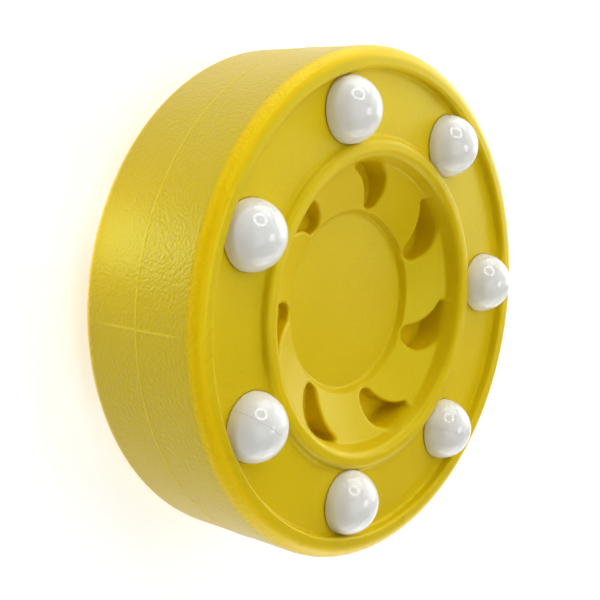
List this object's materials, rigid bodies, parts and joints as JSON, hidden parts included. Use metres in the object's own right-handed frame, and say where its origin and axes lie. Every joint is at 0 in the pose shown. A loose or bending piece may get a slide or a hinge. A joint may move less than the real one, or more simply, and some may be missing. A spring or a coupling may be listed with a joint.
{
  "type": "roller hockey puck",
  "caption": "Roller hockey puck: yellow moulded body with raised rims, dished faces and comma pockets, carrying a circle of white domed runners that spin in through bores.",
  "frame": {"origin": "centre of the puck, on its axis and its mid-plane", "axes": "+Z along the puck's axis, out of the front face; +Y through the first runner; the puck lies flat"},
  "size_m": [0.076, 0.076, 0.0296],
  "materials": {
    "body_plastic": "satin moulded plastic, leather grain on the side wall, smooth faces",
    "runner_nylon": "glossy moulded nylon"
  },
  "bodies": {
    "puck": {"puck_body": "body_plastic"},
    "runner_1": {"runner_pin_1": "runner_nylon", "runner_cap_1": "runner_nylon"},
    "runner_2": {"runner_pin_2": "runner_nylon", "runner_cap_2": "runner_nylon"},
    "runner_3": {"runner_pin_3": "runner_nylon", "runner_cap_3": "runner_nylon"},
    "runner_4": {"runner_pin_4": "runner_nylon", "runner_cap_4": "runner_nylon"},
    "runner_5": {"runner_pin_5": "runner_nylon", "runner_cap_5": "runner_nylon"},
    "runner_6": {"runner_pin_6": "runner_nylon", "runner_cap_6": "runner_nylon"},
    "runner_7": {"runner_pin_7": "runner_nylon", "runner_cap_7": "runner_nylon"}
  },
  "joints": [
    {"name": "runner_spin_1", "type": "hinge", "parent": "puck", "child": "runner_1", "pos_m": [0, 0.0296, 0], "axis": [0, 0, 1], "continuous": true},
    {"name": "runner_spin_2", "type": "hinge", "parent": "puck", "child": "runner_2", "pos_m": [0.02314, 0.01846, 0], "axis": [0, 0, 1], "continuous": true},
    {"name": "runner_spin_3", "type": "hinge", "parent": "puck", "child": "runner_3", "pos_m": [0.02886, -0.00659, 0], "axis": [0, 0, 1], "continuous": true},
    {"name": "runner_spin_4", "type": "hinge", "parent": "puck", "child": "runner_4", "pos_m": [0.01284, -0.02667, 0], "axis": [0, 0, 1], "continuous": true},
    {"name": "runner_spin_5", "type": "hinge", "parent": "puck", "child": "runner_5", "pos_m": [-0.01284, -0.02667, 0], "axis": [0, 0, 1], "continuous": true},
    {"name": "runner_spin_6", "type": "hinge", "parent": "puck", "child": "runner_6", "pos_m": [-0.02886, -0.00659, 0], "axis": [0, 0, 1], "continuous": true},
    {"name": "runner_spin_7", "type": "hinge", "parent": "puck", "child": "runner_7", "pos_m": [-0.02314, 0.01846, 0], "axis": [0, 0, 1], "continuous": true}
  ]
}
